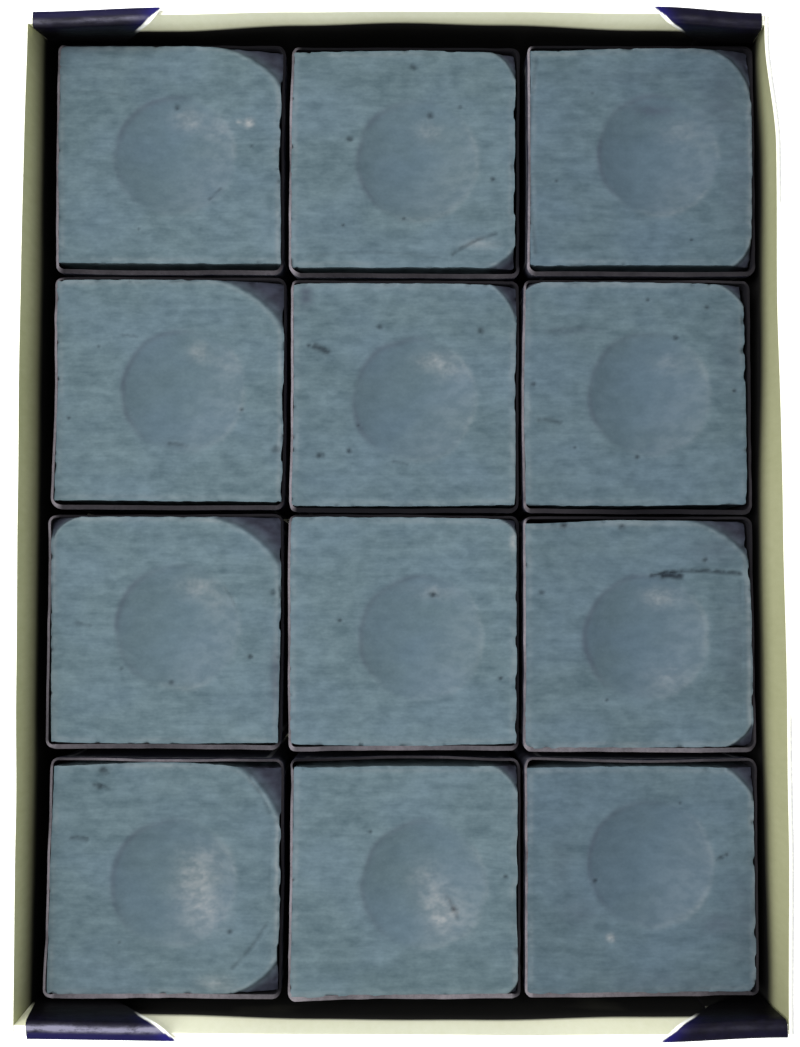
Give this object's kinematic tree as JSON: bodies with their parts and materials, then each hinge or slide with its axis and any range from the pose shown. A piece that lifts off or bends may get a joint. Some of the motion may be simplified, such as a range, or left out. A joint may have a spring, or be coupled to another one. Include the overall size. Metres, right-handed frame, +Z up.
{
  "type": "cue chalk tray",
  "caption": "Open folding-board tray of wrapped cue chalk cubes, each with a cue dimple, that lift straight out.",
  "frame": {"origin": "centre of the tray's underside, on the surface that it stands on", "axes": "+Z up out of the tray's mouth, +X along a row of three cubes, +Y along a column of four cubes"},
  "size_m": [0.0722, 0.0978, 0.0275],
  "materials": {
    "chalk": "dry pressed chalk, matte and dusty, with saw marks",
    "wrap_paper": "thin printed paper, dark slate, with a pale cut edge",
    "board_cream": "uncoated cream inside of folding board",
    "board_navy": "navy printed face with a satin varnish, worn pale along its folds"
  },
  "bodies": {
    "tray": {"tray_floor": "board_cream", "long_wall_left": "board_cream", "long_wall_right": "board_cream", "end_wall_far": "board_cream", "end_wall_near": "board_navy", "corner_ear_far_left": "board_navy", "corner_ear_far_right": "board_navy", "corner_ear_near_left": "board_navy", "corner_ear_near_right": "board_navy", "glue_tab_far_left": "board_cream", "glue_tab_far_right": "board_cream", "glue_tab_near_left": "board_navy", "glue_tab_near_right": "board_navy"},
    "cube_r1c1": {"chalk_r1c1": "chalk", "wrap_r1c1": "wrap_paper"},
    "cube_r1c2": {"chalk_r1c2": "chalk", "wrap_r1c2": "wrap_paper"},
    "cube_r1c3": {"chalk_r1c3": "chalk", "wrap_r1c3": "wrap_paper"},
    "cube_r2c1": {"chalk_r2c1": "chalk", "wrap_r2c1": "wrap_paper"},
    "cube_r2c2": {"chalk_r2c2": "chalk", "wrap_r2c2": "wrap_paper"},
    "cube_r2c3": {"chalk_r2c3": "chalk", "wrap_r2c3": "wrap_paper"},
    "cube_r3c1": {"chalk_r3c1": "chalk", "wrap_r3c1": "wrap_paper"},
    "cube_r3c2": {"chalk_r3c2": "chalk", "wrap_r3c2": "wrap_paper"},
    "cube_r3c3": {"chalk_r3c3": "chalk", "wrap_r3c3": "wrap_paper"},
    "cube_r4c1": {"chalk_r4c1": "chalk", "wrap_r4c1": "wrap_paper"},
    "cube_r4c2": {"chalk_r4c2": "chalk", "wrap_r4c2": "wrap_paper"},
    "cube_r4c3": {"chalk_r4c3": "chalk", "wrap_r4c3": "wrap_paper"}
  },
  "joints": [
    {"name": "lift_r1c1", "type": "slide", "parent": "tray", "child": "cube_r1c1", "axis": [0, 0, 1], "range_m": [0, 0.032]},
    {"name": "lift_r1c2", "type": "slide", "parent": "tray", "child": "cube_r1c2", "axis": [0, 0, 1], "range_m": [0, 0.032]},
    {"name": "lift_r1c3", "type": "slide", "parent": "tray", "child": "cube_r1c3", "axis": [0, 0, 1], "range_m": [0, 0.032]},
    {"name": "lift_r2c1", "type": "slide", "parent": "tray", "child": "cube_r2c1", "axis": [0, 0, 1], "range_m": [0, 0.032]},
    {"name": "lift_r2c2", "type": "slide", "parent": "tray", "child": "cube_r2c2", "axis": [0, 0, 1], "range_m": [0, 0.032]},
    {"name": "lift_r2c3", "type": "slide", "parent": "tray", "child": "cube_r2c3", "axis": [0, 0, 1], "range_m": [0, 0.032]},
    {"name": "lift_r3c1", "type": "slide", "parent": "tray", "child": "cube_r3c1", "axis": [0, 0, 1], "range_m": [0, 0.032]},
    {"name": "lift_r3c2", "type": "slide", "parent": "tray", "child": "cube_r3c2", "axis": [0, 0, 1], "range_m": [0, 0.032]},
    {"name": "lift_r3c3", "type": "slide", "parent": "tray", "child": "cube_r3c3", "axis": [0, 0, 1], "range_m": [0, 0.032]},
    {"name": "lift_r4c1", "type": "slide", "parent": "tray", "child": "cube_r4c1", "axis": [0, 0, 1], "range_m": [0, 0.032]},
    {"name": "lift_r4c2", "type": "slide", "parent": "tray", "child": "cube_r4c2", "axis": [0, 0, 1], "range_m": [0, 0.032]},
    {"name": "lift_r4c3", "type": "slide", "parent": "tray", "child": "cube_r4c3", "axis": [0, 0, 1], "range_m": [0, 0.032]}
  ]
}
